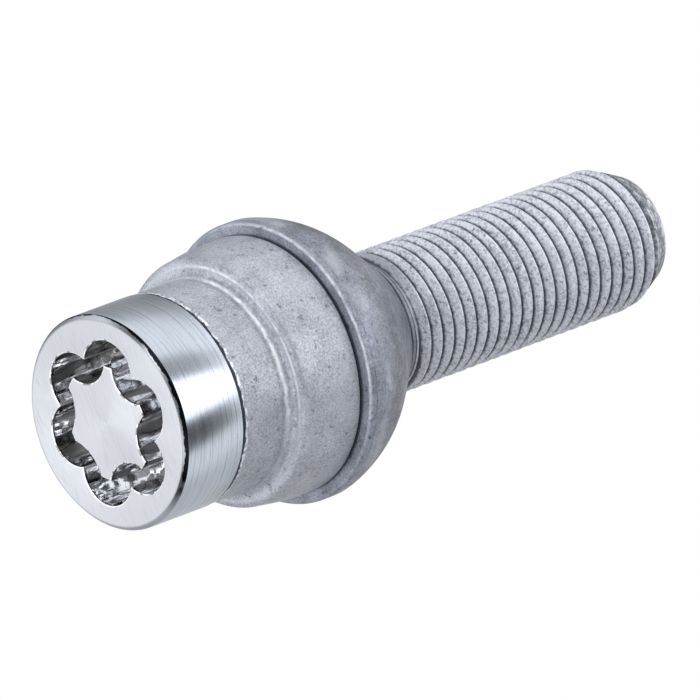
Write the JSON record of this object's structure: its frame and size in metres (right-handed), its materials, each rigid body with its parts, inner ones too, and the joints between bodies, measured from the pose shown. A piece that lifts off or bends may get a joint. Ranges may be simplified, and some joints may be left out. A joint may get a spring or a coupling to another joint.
{
  "type": "wheel bolt",
  "caption": "Locking wheel bolt: round head with a wavy key groove, shoulder and flange, loose ball seat ring that spins on the neck, and a metric threaded shank.",
  "frame": {"origin": "centre of the head's front face, on which the bolt stands", "axes": "+Z along the bolt's axis from the head to the thread's tip; +Y through the middle of one lobe of the key groove and +X between two lobes"},
  "size_m": [0.0273, 0.0272, 0.0684],
  "materials": {
    "bolt_steel": "grey zinc flake coat, head turned bright, worn coat edge",
    "ring_steel": "matt grey phosphate, lightly scuffed"
  },
  "bodies": {
    "bolt": {"bolt": "bolt_steel"},
    "seat_ring": {"seat_ring": "ring_steel"}
  },
  "joints": [
    {"name": "ring_spin", "type": "hinge", "parent": "bolt", "child": "seat_ring", "pos_m": [0, 0, 0.0267], "axis": [0, 0, 1], "continuous": true}
  ]
}
